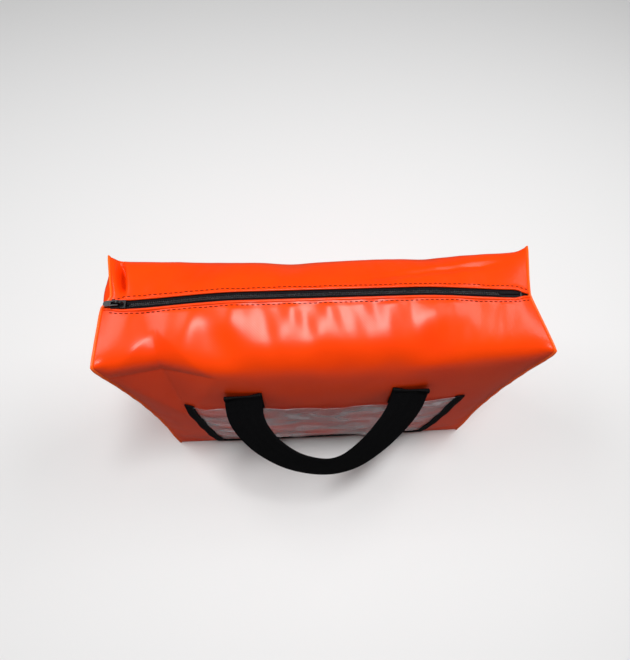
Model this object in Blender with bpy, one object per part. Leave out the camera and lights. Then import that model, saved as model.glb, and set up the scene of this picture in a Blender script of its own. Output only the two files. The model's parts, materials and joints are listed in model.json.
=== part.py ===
"""Zipped carry bag for a smoke hood, in coated fabric, with a card window and two webbing handles.

Frame: metres, +Z up. The origin is the centre of the base, on the surface that the bag stands on.
X runs along the zip, and the front, with the card window, faces -Y.
Run with: blender --background --python part.py
"""

import math

import bmesh
import bpy
from mathutils import Matrix, Vector

# The bag's outer size
WIDTH = 0.440
DEPTH = 0.125
HEIGHT = 0.320

# Sheets, tapes and the clearances between pieces
SHEET = 0.0009
GAP = 0.0003
SKIN_GAP = 0.0006  # between a curved panel and what is sewn on it
WALL_BULGE = 0.012  # how far the filled bag's front and back stand out at their middle
FLAP_CROWN = 0.0025

# Edge piping round each end panel
PIPING_RADIUS = 0.0015
PIPING_LIFT = 0.0002
PIPING_SIDES = 8

# Base board that keeps the bag standing
BOARD_THICKNESS = 0.003
BOARD_INSET = 0.0055

# Card window, for an A4 sheet on its side
WINDOW_WIDTH = 0.320
WINDOW_BOTTOM = 0.006
WINDOW_HEIGHT = 0.202
FILM = 0.0004
BINDING_WIDTH = 0.010
BINDING_THICKNESS = 0.0009

# Webbing handles
WEBBING_WIDTH = 0.040
WEBBING_THICKNESS = 0.0016
HANDLE_SPACING = 0.176  # between the centres of the two sewn ends
SEWN_TOP = 0.249
SEWN_LENGTH = 0.038
HANDLE_PIVOT_STANDOFF = 0.003
HANDLE_PIVOT_Z = 0.250
HANDLE_DROOP = math.radians(57.0)  # how far the free loop hangs below level
LOOP_START = 0.0018
LOOP_STRAIGHT = 0.025
LOOP_DEPTH = 0.112
LOOP_SEGMENTS = 28

# Zip
MOUTH_GAP = 0.010  # between the two flap edges
CHAIN_START = -0.189
CHAIN_LENGTH = 0.364
CHAIN_THICKNESS = 0.0024
CHAIN_OUTER = 0.0033
CHAIN_SPINE = 0.0019
CHAIN_SLOT = 0.00075  # half of the slot that the slider's blade runs in
TOOTH_PITCH = 0.004
TOOTH_WIDTH = 0.0022
TAPE_THICKNESS = 0.0006
TAPE_OUTER = 0.017

# Slider and pull tab
SLIDER_REST_X = -0.199
SLIDER_LENGTH = 0.014
SLIDER_WIDTH = 0.009
SLIDER_PLATE = 0.0011
SLIDER_CHANNEL = 0.0032
BLADE_THICKNESS = 0.0009
BLADE_SPAN = (0.002, 0.006)
BRIDGE_INNER = 0.0034
BRIDGE_OUTER = 0.0048
BRIDGE_WIDTH = 0.0022
PULL_AXIS_LIFT = 0.0021  # above the slider's top plate
PULL_DROOP = math.radians(6.0)
PULL_LENGTH = 0.0138
PULL_WIDTH = 0.006
PULL_THICKNESS = 0.0014
PULL_CROSSBAR = 0.0008
PULL_EYE_END = 0.0062
PULL_EYE_HALF_WIDTH = 0.0016
PULL_TIP_SEGMENTS = 8
TOP_STOP_X = -0.2079
BOTTOM_STOP_X = 0.1955
STOP_LENGTH = 0.002
STOP_HALF_WIDTH = 0.0036

# Worked out from the sizes above
PANEL_HALF_X = WIDTH / 2 - 2 * PIPING_RADIUS - 0.0004
WALL_Y = DEPTH / 2
PANEL_TOP = HEIGHT - 2 * GAP
CHAIN_Z = HEIGHT - GAP - TAPE_THICKNESS / 2

MATERIALS = {
    "bag_sheet": ((0.93, 0.15, 0.01), 0.38, 0.0, 1.0),
    "piping": ((0.88, 0.13, 0.01), 0.45, 0.0, 1.0),
    "board": ((0.05, 0.05, 0.055), 0.6, 0.0, 1.0),
    "clear_film": ((0.85, 0.87, 0.88), 0.12, 0.0, 0.3),
    "binding": ((0.012, 0.012, 0.013), 0.8, 0.0, 1.0),
    "webbing": ((0.012, 0.012, 0.014), 0.65, 0.0, 1.0),
    "zip_tape": ((0.012, 0.012, 0.013), 0.85, 0.0, 1.0),
    "zip_teeth": ((0.02, 0.02, 0.022), 0.4, 0.0, 1.0),
    "slider_metal": ((0.03, 0.03, 0.032), 0.35, 0.9, 1.0),
}


def clear_scene():
    for obj in list(bpy.data.objects):
        bpy.data.objects.remove(obj)


def material(name):
    """The Principled material of that name, made the first time that it is asked for."""
    found = bpy.data.materials.get(name)
    if found:
        return found
    colour, roughness, metallic, alpha = MATERIALS[name]
    made = bpy.data.materials.new(name)
    made.use_nodes = True
    shader = made.node_tree.nodes["Principled BSDF"]
    shader.inputs["Base Color"].default_value = (*colour, 1.0)
    shader.inputs["Roughness"].default_value = roughness
    shader.inputs["Metallic"].default_value = metallic
    shader.inputs["Alpha"].default_value = alpha
    return made


def add_object(name, bm, material_name, parent=None):
    """An object from a bmesh in its parent's frame, with its faces turned outwards."""
    bmesh.ops.recalc_face_normals(bm, faces=bm.faces)
    mesh = bpy.data.meshes.new(name)
    bm.to_mesh(mesh)
    bm.free()
    mesh.materials.append(material(material_name))
    mesh.shade_smooth()
    mesh.set_sharp_from_angle(angle=math.radians(35))
    obj = bpy.data.objects.new(name, mesh)
    bpy.context.scene.collection.objects.link(obj)
    obj.parent = parent
    return obj


def joint_empty(name, location, turn=(0.0, 0.0, 0.0), parent=None):
    """An empty on a joint's axis, which the moving pieces hang from."""
    empty = bpy.data.objects.new(name, None)
    bpy.context.scene.collection.objects.link(empty)
    empty.location = location
    empty.rotation_euler = turn
    empty.parent = parent
    return empty


def slab(bm, outer, inner, u_range, v_range, columns, rows):
    """A closed sheet between two surfaces, each a function of u and v."""
    layers = []
    for surface in (outer, inner):
        layer = []
        for row in range(rows + 1):
            v = v_range[0] + (v_range[1] - v_range[0]) * row / rows
            for column in range(columns + 1):
                u = u_range[0] + (u_range[1] - u_range[0]) * column / columns
                layer.append(bm.verts.new(surface(u, v)))
        layers.append(layer)
    stride = columns + 1
    for layer in layers:
        for row in range(rows):
            for column in range(columns):
                first = row * stride + column
                corners = (first, first + 1, first + stride + 1, first + stride)
                bm.faces.new([layer[i] for i in corners])
    rim = list(range(columns))
    rim += [row * stride + columns for row in range(rows)]
    rim += [rows * stride + column for column in range(columns, 0, -1)]
    rim += [row * stride for row in range(rows, 0, -1)]
    for here, there in zip(rim, rim[1:] + rim[:1]):
        bm.faces.new((layers[0][here], layers[0][there], layers[1][there], layers[1][here]))


def box(bm, low, high):
    """A block between two corners."""
    size = Vector(high) - Vector(low)
    middle = (Vector(high) + Vector(low)) / 2
    matrix = Matrix.Translation(middle) @ Matrix.Diagonal((*size, 1.0))
    bmesh.ops.create_cube(bm, size=1.0, matrix=matrix)


def prism(bm, outline, offset):
    """A flat outline of points, pushed along offset."""
    face = bm.faces.new([bm.verts.new(point) for point in outline])
    pushed = bmesh.ops.extrude_face_region(bm, geom=[face])["geom"]
    moved = [item for item in pushed if isinstance(item, bmesh.types.BMVert)]
    bmesh.ops.translate(bm, verts=moved, vec=offset)


def wall_bulge(x, z):
    """How far a filled wall stands out of its flat plane at that place."""
    across = x / PANEL_HALF_X
    up = 2 * z / HEIGHT - 1
    return WALL_BULGE * (1 - across * across) * (1 - up * up)


def skin(side, stand_off):
    """The surface at that distance outside a wall, as a function of x and z. Side is -1 for the front."""

    def point(x, z):
        return (x, side * (WALL_Y + wall_bulge(x, z) + stand_off), z)

    return point


def add_wall_piece(name, material_name, side, lowest, thickness, x_range, z_range, grid):
    """A sheet that lies on a wall: its inner face stands lowest outside the wall's outer face."""
    bm = bmesh.new()
    outer, inner = skin(side, lowest + thickness), skin(side, lowest)
    slab(bm, outer, inner, x_range, z_range, *grid)
    return add_object(name, bm, material_name)


def add_box_piece(name, material_name, low, high, parent=None):
    bm = bmesh.new()
    box(bm, low, high)
    return add_object(name, bm, material_name, parent)


def add_walls():
    """Front and back sheets, base and ends."""
    across = (-PANEL_HALF_X, PANEL_HALF_X)
    for name, side in (("front_panel", -1), ("back_panel", 1)):
        up = (SHEET + GAP, PANEL_TOP)
        add_wall_piece(name, "bag_sheet", side, -SHEET, SHEET, across, up, (14, 10))
    low = (-PANEL_HALF_X, -WALL_Y, 0.0)
    add_box_piece("base_panel", "bag_sheet", low, (PANEL_HALF_X, WALL_Y, SHEET))
    half_y = WALL_Y - 2 * PIPING_RADIUS - GAP
    bottom = PIPING_LIFT + 2 * PIPING_RADIUS + GAP / 2
    top = HEIGHT - 2 * PIPING_RADIUS - GAP
    middle = WIDTH / 2 - PIPING_RADIUS
    for name, side in (("left_end_panel", -1), ("right_end_panel", 1)):
        near, far = sorted((side * (middle - SHEET / 2), side * (middle + SHEET / 2)))
        add_box_piece(name, "bag_sheet", (near, -half_y, bottom), (far, half_y, top))


def add_piping():
    """A cord of folded sheet round each end panel, mitred at its four corners."""
    half_y = WALL_Y - PIPING_RADIUS
    low = PIPING_LIFT + PIPING_RADIUS
    high = HEIGHT - PIPING_RADIUS
    for name, side in (("left_edge_piping", -1), ("right_edge_piping", 1)):
        bm = bmesh.new()
        loops = []
        for step in range(PIPING_SIDES):
            angle = 2 * math.pi * (step + 0.5) / PIPING_SIDES
            out = PIPING_RADIUS * math.cos(angle)
            x = side * (WIDTH / 2 - PIPING_RADIUS) + PIPING_RADIUS * math.sin(angle)
            y = half_y + out
            corners = ((-y, low - out), (y, low - out), (y, high + out), (-y, high + out))
            loops.append([bm.verts.new((x, *corner)) for corner in corners])
        for first, second in zip(loops, loops[1:] + loops[:1]):
            for here in range(4):
                there = (here + 1) % 4
                bm.faces.new((first[here], first[there], second[there], second[here]))
        add_object(name, bm, "piping")


def add_base_board():
    half_x, half_y = PANEL_HALF_X - BOARD_INSET, WALL_Y - BOARD_INSET
    bottom = SHEET + 0.0004
    low, high = (-half_x, -half_y, bottom), (half_x, half_y, bottom + BOARD_THICKNESS)
    add_box_piece("base_board", "board", low, high)


def add_window():
    """Clear film with a woven binding on three edges, and open along its top to take a card."""
    half = WINDOW_WIDTH / 2
    top = WINDOW_BOTTOM + WINDOW_HEIGHT
    film_up = (WINDOW_BOTTOM, top)
    add_wall_piece("window_film", "clear_film", -1, SKIN_GAP, FILM, (-half, half), film_up, (12, 8))
    lowest = SKIN_GAP + FILM + SKIN_GAP
    above = WINDOW_BOTTOM + BINDING_WIDTH + GAP
    inner = half - BINDING_WIDTH
    strips = (
        ("window_binding_left", (-half, -inner), (above, top), (1, 8)),
        ("window_binding_right", (inner, half), (above, top), (1, 8)),
        ("window_binding_bottom", (-half, half), (WINDOW_BOTTOM, above - GAP), (12, 1)),
    )
    for name, across, up, grid in strips:
        add_wall_piece(name, "binding", -1, lowest, BINDING_THICKNESS, across, up, grid)


def loop_outline():
    """The free webbing loop laid flat: two legs down from the pivot line, joined by a round bend."""
    half, width = HANDLE_SPACING / 2, WEBBING_WIDTH / 2
    outline = []
    for grow, turn in ((width, 1), (-width, -1)):
        across, along = half + grow, LOOP_DEPTH - LOOP_STRAIGHT + grow
        bend = [
            (
                across * math.cos(math.pi * step / LOOP_SEGMENTS),
                -(LOOP_STRAIGHT + along * math.sin(math.pi * step / LOOP_SEGMENTS)),
            )
            for step in range(LOOP_SEGMENTS + 1)
        ]
        edge = [(across, -LOOP_START), *bend, (-across, -LOOP_START)]
        outline += edge[::turn]
    return [(x, y, -WEBBING_THICKNESS / 2) for x, y in outline]


def handle_pivot_y():
    """The fold line lies just in front of the sewn ends."""
    face = WALL_Y + wall_bulge(HANDLE_SPACING / 2, HANDLE_PIVOT_Z)
    return face + SKIN_GAP + WEBBING_THICKNESS + HANDLE_PIVOT_STANDOFF


def add_handles():
    """On each face, two ends sewn flat to the wall, and a loop that swings on their fold line."""
    half, width = HANDLE_SPACING / 2, WEBBING_WIDTH / 2
    up = (SEWN_TOP - SEWN_LENGTH, SEWN_TOP)
    for face, side in (("front", -1), ("back", 1)):
        for end, place in (("left", -half), ("right", half)):
            name = f"{face}_handle_end_{end}"
            across = (place - width, place + width)
            add_wall_piece(name, "webbing", side, SKIN_GAP, WEBBING_THICKNESS, across, up, (2, 2))
        location = (0.0, side * handle_pivot_y(), HANDLE_PIVOT_Z)
        about = 0.0 if side < 0 else math.pi
        pivot = joint_empty(f"{face}_handle_pivot", location, (0.0, 0.0, about))
        bm = bmesh.new()
        prism(bm, loop_outline(), (0.0, 0.0, WEBBING_THICKNESS))
        loop = add_object(f"{face}_handle_loop", bm, "webbing", pivot)
        loop.rotation_euler = (HANDLE_DROOP, 0.0, 0.0)


def chain_outline(side):
    """One half of the zip chain from above: a spine with square teeth towards the slot."""
    end = CHAIN_START + CHAIN_LENGTH
    count = round(CHAIN_LENGTH / TOOTH_PITCH)
    shift = TOOTH_PITCH / 4 if side < 0 else -TOOTH_PITCH / 4
    outline = [(CHAIN_START, CHAIN_OUTER), (CHAIN_START, CHAIN_SPINE)]
    for tooth in range(count):
        middle = CHAIN_START + (tooth + 0.5) * TOOTH_PITCH + shift
        left, right = middle - TOOTH_WIDTH / 2, middle + TOOTH_WIDTH / 2
        outline += [(left, CHAIN_SPINE), (left, CHAIN_SLOT)]
        outline += [(right, CHAIN_SLOT), (right, CHAIN_SPINE)]
    outline += [(end, CHAIN_SPINE), (end, CHAIN_OUTER)]
    return [(x, side * y) for x, y in outline]


def add_flaps():
    """The top halves of the two sheets, which fold open with the zip tape and chain on each."""
    for face, side in (("front", -1), ("back", 1)):
        fold = Vector((0.0, side * WALL_Y, HEIGHT))
        hinge = joint_empty(f"{face}_flap_fold", fold)
        reach = WALL_Y - MOUTH_GAP / 2

        def surface(lift, side=side, reach=reach):
            def point(x, along):
                across = x / PANEL_HALF_X
                share = along / reach
                crown = FLAP_CROWN * 4 * share * (1 - share) * (1 - across * across)
                return (x, -side * along, lift + crown)

            return point

        bm = bmesh.new()
        spans = (-PANEL_HALF_X, PANEL_HALF_X), (0.0, reach)
        slab(bm, surface(SHEET), surface(0.0), *spans, 14, 5)
        add_object(f"{face}_top_flap", bm, "bag_sheet", hinge)

        edges = sorted((side * (CHAIN_OUTER + GAP), side * TAPE_OUTER))
        low = Vector((CHAIN_START, edges[0], HEIGHT - GAP - TAPE_THICKNESS)) - fold
        high = Vector((CHAIN_START + CHAIN_LENGTH, edges[1], HEIGHT - GAP)) - fold
        add_box_piece(f"zip_tape_{face}", "zip_tape", low, high, hinge)

        bm = bmesh.new()
        bottom = CHAIN_Z - CHAIN_THICKNESS / 2
        outline = [Vector((x, y, bottom)) - fold for x, y in chain_outline(side)]
        prism(bm, outline, (0.0, 0.0, CHAIN_THICKNESS))
        add_object(f"zip_chain_{face}", bm, "zip_teeth", hinge)


def add_stops():
    """Top stops on the two tapes where the zip closes, and one bottom stop across both."""
    bottom, top = CHAIN_Z - CHAIN_THICKNESS / 2, CHAIN_Z + CHAIN_THICKNESS / 2
    for face, side in (("front", -1), ("back", 1)):
        edges = sorted((side * GAP, side * STOP_HALF_WIDTH))
        low = (TOP_STOP_X - STOP_LENGTH / 2, edges[0], bottom)
        high = (TOP_STOP_X + STOP_LENGTH / 2, edges[1], top)
        add_box_piece(f"zip_top_stop_{face}", "slider_metal", low, high)
    low = (BOTTOM_STOP_X - STOP_LENGTH / 2, -STOP_HALF_WIDTH, bottom)
    high = (BOTTOM_STOP_X + STOP_LENGTH / 2, STOP_HALF_WIDTH, top)
    add_box_piece("zip_bottom_stop", "slider_metal", low, high)


def join(target, other):
    """Unites other with target, and hides other."""
    union = target.modifiers.new("join_" + other.name, "BOOLEAN")
    union.operation = "UNION"
    union.solver = "EXACT"
    union.object = other
    other.hide_render = True
    other.display_type = "WIRE"


def add_slider():
    """Two plates on a thin blade that runs between the teeth, with a bridge that holds the pull tab."""
    seat = joint_empty("slider_seat", (SLIDER_REST_X, 0.0, CHAIN_Z))
    half_x, half_y = SLIDER_LENGTH / 2, SLIDER_WIDTH / 2
    inner, outer = SLIDER_CHANNEL / 2, SLIDER_CHANNEL / 2 + SLIDER_PLATE
    body = add_box_piece(
        "zip_slider_body", "slider_metal", (-half_x, -half_y, inner), (half_x, half_y, outer), seat
    )
    bevel = body.modifiers.new("round_corners", "BEVEL")
    bevel.width = SLIDER_PLATE * 0.3
    bevel.segments = 2
    plate = add_box_piece(
        "bottom_plate_guide", "slider_metal", (-half_x, -half_y, -outer), (half_x, half_y, -inner), seat
    )
    bite = SLIDER_PLATE / 2
    low = (BLADE_SPAN[0], -BLADE_THICKNESS / 2, -inner - bite)
    blade = add_box_piece(
        "blade_guide", "slider_metal", low, (BLADE_SPAN[1], BLADE_THICKNESS / 2, inner + bite), seat
    )
    bm = bmesh.new()
    segments = 12
    arch = []
    for radius, turn in ((BRIDGE_OUTER, 1), (BRIDGE_INNER, -1)):
        edge = [
            (
                radius * math.cos(math.pi * step / segments),
                -BRIDGE_WIDTH / 2,
                outer + radius * math.sin(math.pi * step / segments),
            )
            for step in range(segments + 1)
        ]
        foot = radius, -BRIDGE_WIDTH / 2, outer - bite
        edge = [foot, *edge, (-radius, *foot[1:])]
        arch += edge[::turn]
    prism(bm, arch, (0.0, BRIDGE_WIDTH, 0.0))
    bridge = add_object("bridge_guide", bm, "slider_metal", seat)
    for piece in (blade, plate, bridge):
        join(body, piece)
    add_pull(seat, outer)


def add_pull(seat, plate_top):
    """The tab hangs on the bridge by its crossbar, and here it lies over the bag's left end."""
    pivot = joint_empty("pull_pivot", (0.0, 0.0, plate_top + PULL_AXIS_LIFT), parent=seat)
    half_width, half_thick = PULL_WIDTH / 2, PULL_THICKNESS / 2
    straight = PULL_LENGTH - half_width
    outline = [(PULL_CROSSBAR, -half_width), (-straight, -half_width)]
    for step in range(1, PULL_TIP_SEGMENTS):
        angle = math.pi * step / PULL_TIP_SEGMENTS
        outline.append((-straight - half_width * math.sin(angle), -half_width * math.cos(angle)))
    outline += [(-straight, half_width), (PULL_CROSSBAR, half_width)]
    bm = bmesh.new()
    prism(bm, [(x, y, -half_thick) for x, y in outline], (0.0, 0.0, PULL_THICKNESS))
    tab = add_object("zip_pull_tab", bm, "slider_metal", pivot)
    tab.rotation_euler = (0.0, -PULL_DROOP, 0.0)
    eye = add_box_piece(
        "eye_cutter",
        "slider_metal",
        (-PULL_EYE_END, -PULL_EYE_HALF_WIDTH, -PULL_THICKNESS),
        (-PULL_CROSSBAR, PULL_EYE_HALF_WIDTH, PULL_THICKNESS),
        pivot,
    )
    eye.rotation_euler = tab.rotation_euler
    cut = tab.modifiers.new("eye", "BOOLEAN")
    cut.operation = "DIFFERENCE"
    cut.solver = "EXACT"
    cut.object = eye
    eye.hide_render = True
    eye.display_type = "WIRE"


def main():
    clear_scene()
    add_walls()
    add_piping()
    add_base_board()
    add_window()
    add_handles()
    add_flaps()
    add_stops()
    add_slider()


main()
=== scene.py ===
"""Looks of the smoke hood's carry bag: coated sheet, zip, webbing handles and a clear card window.

Everything is in metres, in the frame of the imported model: X along the zip, the front towards -Y, +Z up.
"""

import json
import math

import bpy
import numpy as np
from mathutils import Euler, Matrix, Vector, noise


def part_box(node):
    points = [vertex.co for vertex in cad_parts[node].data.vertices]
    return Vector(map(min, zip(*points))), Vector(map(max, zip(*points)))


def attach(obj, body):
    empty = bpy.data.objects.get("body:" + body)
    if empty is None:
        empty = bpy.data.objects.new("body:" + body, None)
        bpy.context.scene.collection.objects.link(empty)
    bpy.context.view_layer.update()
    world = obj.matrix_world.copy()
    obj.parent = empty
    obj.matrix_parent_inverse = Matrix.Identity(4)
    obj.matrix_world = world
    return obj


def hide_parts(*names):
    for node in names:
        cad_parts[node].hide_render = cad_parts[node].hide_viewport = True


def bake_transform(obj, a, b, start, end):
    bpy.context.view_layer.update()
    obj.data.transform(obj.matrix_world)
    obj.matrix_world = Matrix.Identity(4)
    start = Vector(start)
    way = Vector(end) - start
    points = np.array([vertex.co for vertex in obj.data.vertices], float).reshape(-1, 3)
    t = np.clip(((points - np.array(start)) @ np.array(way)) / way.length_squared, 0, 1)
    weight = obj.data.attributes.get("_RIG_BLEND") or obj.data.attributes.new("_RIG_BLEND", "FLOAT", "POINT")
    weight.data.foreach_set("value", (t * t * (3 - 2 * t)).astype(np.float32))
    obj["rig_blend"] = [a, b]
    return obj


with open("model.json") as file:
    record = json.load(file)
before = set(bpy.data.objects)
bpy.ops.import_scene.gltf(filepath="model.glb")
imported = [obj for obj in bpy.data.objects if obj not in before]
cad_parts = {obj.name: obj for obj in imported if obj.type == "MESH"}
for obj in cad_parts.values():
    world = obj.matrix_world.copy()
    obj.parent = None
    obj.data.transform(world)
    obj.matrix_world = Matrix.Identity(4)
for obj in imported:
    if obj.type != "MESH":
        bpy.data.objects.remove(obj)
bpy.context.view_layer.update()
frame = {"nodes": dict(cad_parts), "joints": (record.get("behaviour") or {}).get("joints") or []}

# Places that the frame gives
BASE_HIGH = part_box("base_panel")[1]
FLAP_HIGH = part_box("front_top_flap")[1]
CHAIN_LOW, CHAIN_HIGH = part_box("zip_chain_back")
END_LOW, END_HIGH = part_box("right_end_panel")
WINDOW_LOW, WINDOW_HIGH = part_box("window_film")
WALL_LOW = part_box("front_panel")[0]
SEWN_LOW, SEWN_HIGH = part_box("front_handle_end_right")
FILM_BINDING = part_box("window_binding_left")
JOINTS = {joint["name"]: joint for joint in frame["joints"]}
HANDLE_PIVOT = Vector(JOINTS["front_handle_swing"]["pos_m"])
FOLD = Vector(JOINTS["front_flap_fold"]["pos_m"])

FACES = {"front": -1, "back": 1}  # the side of Y that each wall is on

# Cells of the shell, and the fine steps to each of them
LONG = 60
UP = 44
FLAP = 8
ACROSS = 2 * FLAP + 2
FINE = 4

# Bag shell, as the middle of its sheet
SHEET = 0.0009
END_X = (END_LOW.x + END_HIGH.x) / 2
SEAM_Y = BASE_HIGH.y - 0.001
MOUTH_Y = -FLAP_HIGH.y
CORNER_Z = FOLD.z - 0.0065
ZIP_Z = (CHAIN_LOW.z + CHAIN_HIGH.z) / 2
ZIP_RISE = 0.0045
ZIP_END_Z = ZIP_Z - 0.0035
ZIP_LEAN = 0.0038
WALL_BULGE = 0.0085
CORNER_RADIUS = 0.0025
ROLL_RADIUS = 0.022
TOP_HALF = 0.0565  # width of one half of the top
STANDS = 0.0012  # height of the base sheet's middle, over its seams
OPENS_TO = 0.182  # how far from the middle the top still opens when the zip is undone

# Settling: its length, its furthest move, and the share of their swell that the walls give back
FRAMES = 22
FURTHEST = 0.016
DRAWN_BACK = 0.85
RELAXING = {"front": 7, "back": 10}

# The ends, drawn in: their hollow, the right end's waist, and the left end's waist and tucked seam
END_HOLLOW = 0.0035
RIGHT_WAIST = 0.0130
LEFT_WAIST = 0.0020
LEFT_TUCK = 0.0090
LEFT_EDGE = 0.0010
LEFT_SHELF = {UP: 0.0020, UP - 1: 0.0045, UP - 2: 0.0040, UP - 3: 0.0022}  # rise of each row of points

# Seams, hems and stitches
WELT = 0.0017
HEM = 0.0011
STITCH_LENGTH = 0.0033
STITCH_PITCH = 0.0050
STITCH_WIDTH = 0.00105
STITCH_INSET = 0.0045

# Folds and dents: the pitch and height of each row of puckers, and the dent at the front's left
PUCKERS = ((0.061, 0.0008), (0.034, 0.00055), (0.019, 0.00025))
STITCH_GROOVE = 0.00045
DENT_X = -0.164
DENT_REACH = 0.052
DENT_DEPTH = 0.0120
DENT_ROW = UP - 3.5
CORNER_VALLEY = 0.0210
CORNER_CREST = 0.0022
CREASE_DEPTH = 0.0030

# Zip
TOOTH_PITCH = 0.0019
TOOTH_SIZE = (0.0012, 0.0030, 0.0012)
TOOTH_LEAN = 0.12
TAPE = 0.0006
TAPE_OUT = 0.0120
TAPE_UNDER = 0.0013
TOP_CELL = 0.0017  # across the top, in the fine grids

# Window
FILM = 0.0003
FILM_STANDS = 0.0009
BINDING_STANDS = 0.0017
BINDING_THICK = 0.00075
STEP = 0.001  # to a point beside the binding's line, for its direction

# Webbing
WEBBING = 0.040
WEBBING_THICK = 0.0016
SEWN_STANDS = 0.0016
SEWN_STEPS = 14
FOLD_STEPS = 10
FOLD_LIFT = 0.0034
LOOP_SLOPE = math.radians(57)  # below level
LOOP_TWIST = math.radians(-15)

# Stage
FLOOR_HALF = 40.0
FLOOR_Z = -0.0002
WORLD_LIGHT = 0.08
LENS = 24.07
SENSOR = 36.0
CAMERA_SHIFT = (-0.0152, 0.0485)
CAMERA_PLACE = (-0.0284, -0.2205, 0.696)
CAMERA_TURN = (22.397, -2.16, -3.175)  # degrees


def smooth(value, low, high):
    """0 below low, 1 above high, and a smooth turn between them."""
    share = np.clip((np.asarray(value, float) - low) / (high - low), 0.0, 1.0)
    return share * share * (3 - 2 * share)


def ridge(value, centre, width):
    """1 at the centre, falling smoothly to nothing about two widths away."""
    return np.exp(-(((value - centre) / width) ** 2))


def unit(vectors):
    """The vectors at length 1."""
    return vectors / np.linalg.norm(vectors, axis=-1, keepdims=True)


def run_of(path):
    """The length along a path up to each of its points."""
    return np.concatenate([[0], np.cumsum(np.linalg.norm(np.diff(path, axis=0), axis=1))])


# ---------------------------------------------------------------- meshes


def link(name, data, place=(0, 0, 0)):
    """A new object in the scene."""
    obj = bpy.data.objects.new(name, data)
    bpy.context.scene.collection.objects.link(obj)
    obj.location = place
    return obj


def mesh_object(name, points, faces, material, uv=None, shade=True):
    """A mesh object from arrays. uv gives each vertex its place on the flat cloth, in metres."""
    mesh = bpy.data.meshes.new(name)
    mesh.from_pydata([tuple(p) for p in np.asarray(points, float)], [], [tuple(f) for f in faces])
    if uv is not None:
        layer = mesh.uv_layers.new(name="cloth")
        corner = np.zeros(len(mesh.loops), np.int32)
        mesh.loops.foreach_get("vertex_index", corner)
        layer.data.foreach_set("uv", np.asarray(uv, np.float32)[corner].ravel())
    mesh.materials.append(material)
    if shade:
        mesh.shade_smooth()
    mesh.validate()
    mesh.update()
    return link(name, mesh)


def grid_faces(rows, columns, flip=False):
    """Quads of a grid of rows by columns of vertices."""
    first = np.arange(rows - 1)[:, None] * columns + np.arange(columns - 1)[None, :]
    quads = np.stack([first, first + columns, first + columns + 1, first + 1], -1).reshape(-1, 4)
    return quads[:, ::-1] if flip else quads


def cloth(name, grid, uv, material, thickness, flip=False):
    """A sheet from a grid of its middle surface, thickened both ways."""
    rows, columns = grid.shape[:2]
    faces = grid_faces(rows, columns, flip)
    obj = mesh_object(name, grid.reshape(-1, 3), faces, material, uv.reshape(-1, 2))
    solid = obj.modifiers.new("thickness", "SOLIDIFY")
    solid.thickness = thickness
    solid.offset = 0.0
    return obj


def spread(count, fine):
    """Catmull-Rom weights that take count points to fine times as many steps."""
    steps = (count - 1) * fine + 1
    weights = np.zeros((steps, count + 2))
    for step in range(steps):
        cell = min(step // fine, count - 2)
        t = step / fine - cell
        basis = (
            -0.5 * t + t * t - 0.5 * t**3,
            1 - 2.5 * t * t + 1.5 * t**3,
            0.5 * t + 2 * t * t - 1.5 * t**3,
            -0.5 * t * t + 0.5 * t**3,
        )
        weights[step, cell : cell + 4] = basis
    ends = np.zeros((count + 2, count))
    ends[1:-1] = np.eye(count)
    ends[0, :2] = (2, -1)
    ends[-1, -2:] = (-1, 2)
    return weights @ ends


def finer(grid, fine=FINE):
    """The grid with fine steps to each of its cells, on smooth curves through its points."""
    rows, columns = grid.shape[:2]
    return np.einsum("ab,bcd,ec->aed", spread(rows, fine), grid, spread(columns, fine))


def normals(grid):
    """The unit normal at each point of a grid."""
    along = np.gradient(grid, axis=0)
    across = np.gradient(grid, axis=1)
    found = np.cross(along, across)
    return found / np.maximum(np.linalg.norm(found, axis=-1, keepdims=True), 1e-12)


def flat_lengths(grid):
    """Each point's place on the flat cloth: the mean length along, and the mean length across."""
    along = np.linalg.norm(np.diff(grid, axis=0), axis=-1).mean(1)
    across = np.linalg.norm(np.diff(grid, axis=1), axis=-1).mean(0)
    first = np.concatenate([[0], np.cumsum(along)])
    second = np.concatenate([[0], np.cumsum(across)])
    return np.stack(np.meshgrid(first, second, indexing="ij"), -1)


def sweep(name, path, sides, profile, material, closed=False):
    """A profile, given as (side, out) pairs, swept along a path. sides are the profile's side directions."""
    path, sides, profile = (np.asarray(a, float) for a in (path, sides, profile))
    if closed:
        ahead = np.roll(path, -1, 0) - np.roll(path, 1, 0)
    else:
        ahead = np.gradient(path, axis=0)
    ahead = unit(ahead)
    sides = unit(sides - ahead * np.sum(sides * ahead, 1, keepdims=True))
    outs = np.cross(ahead, sides)
    ring = len(profile)
    points = path[:, None] + sides[:, None] * profile[None, :, :1] + outs[:, None] * profile[None, :, 1:]
    count = len(path)
    rows = np.arange(count if closed else count - 1)
    first = rows[:, None] * ring + np.arange(ring)[None, :]
    after = ((rows + 1) % count)[:, None] * ring + np.arange(ring)[None, :]
    quads = np.stack([first, np.roll(first, -1, 1), np.roll(after, -1, 1), after], -1).reshape(-1, 4)
    faces = [tuple(q) for q in quads]
    if not closed:
        faces.append(tuple(range(ring))[::-1])
        faces.append(tuple(range((count - 1) * ring, count * ring)))
    uv = np.stack(np.meshgrid(run_of(path), profile[:, 0], indexing="ij"), -1)
    return mesh_object(name, points.reshape(-1, 3), faces, material, uv.reshape(-1, 2))


def oval(wide, high, count=10):
    """The outline of an oval, from its half width and half height."""
    angle = np.arange(count) * 2 * math.pi / count
    return np.stack([wide * np.cos(angle), high * np.sin(angle)], 1)


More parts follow.
